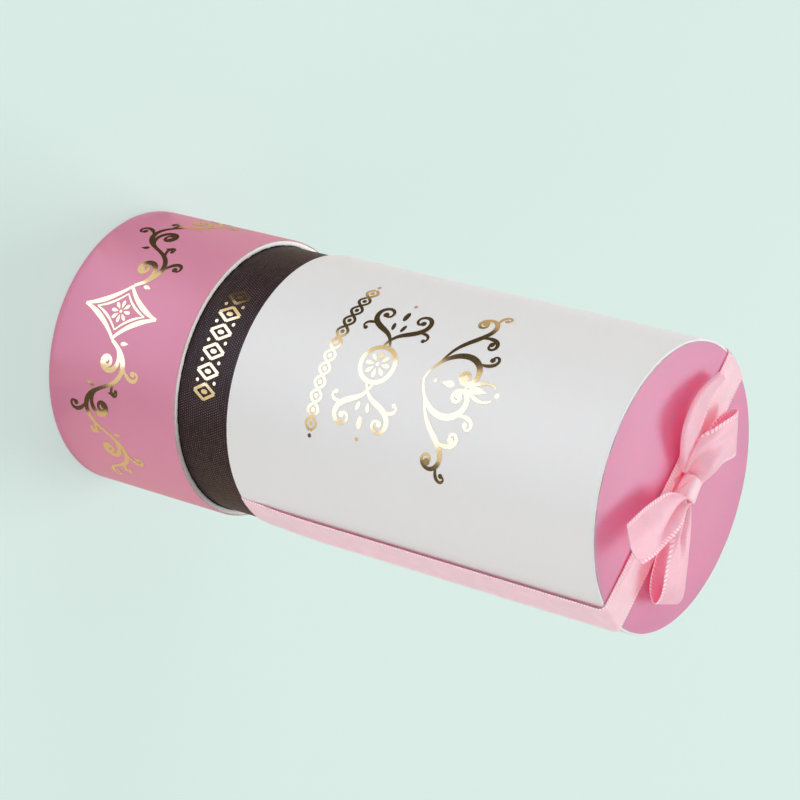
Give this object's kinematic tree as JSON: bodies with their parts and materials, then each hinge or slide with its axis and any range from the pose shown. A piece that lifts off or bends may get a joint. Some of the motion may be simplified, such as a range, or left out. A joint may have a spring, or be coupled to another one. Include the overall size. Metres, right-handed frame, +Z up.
{
  "type": "cylindrical gift tube box",
  "caption": "Round gift box of paper tubes: a base with a standing inner neck, a lift-off lid and a ribbon strap with a tied bow on top.",
  "frame": {"origin": "centre of the face that the box rests on", "axes": "+Z up along the tube's axis, towards the lid; -Y is the front; the ribbon crosses the lid along X"},
  "size_m": [0.0768, 0.0768, 0.1809],
  "materials": {
    "grey_board": "raw wound board",
    "pink_paper": "matte laminated print paper",
    "white_paper": "matte laminated paper",
    "dark_paper": "cloth-textured paper",
    "lining_paper": "uncoated lining paper",
    "satin_ribbon": "satin with woven selvedges",
    "clear_glue": "clear hot-melt glue"
  },
  "bodies": {
    "base": {"base_tube": "grey_board", "base_wrap": "pink_paper", "base_disc": "grey_board", "base_bottom_paper": "pink_paper", "neck_tube": "grey_board", "neck_wrap": "dark_paper", "neck_lining": "lining_paper", "floor_paper": "lining_paper"},
    "lid": {"lid_tube": "grey_board", "lid_wrap": "white_paper", "lid_disc": "grey_board", "lid_top_paper": "pink_paper", "lid_lining": "lining_paper", "ceiling_paper": "lining_paper", "ribbon_strap": "satin_ribbon", "bow_knot": "satin_ribbon", "bow_loop_left": "satin_ribbon", "bow_loop_right": "satin_ribbon", "bow_tail_left": "satin_ribbon", "bow_tail_right": "satin_ribbon", "glue_blob": "clear_glue"}
  },
  "joints": [
    {"name": "lid_lift", "type": "slide", "parent": "base", "child": "lid", "axis": [0, 0, 1], "range_m": [0, 0.125]}
  ]
}
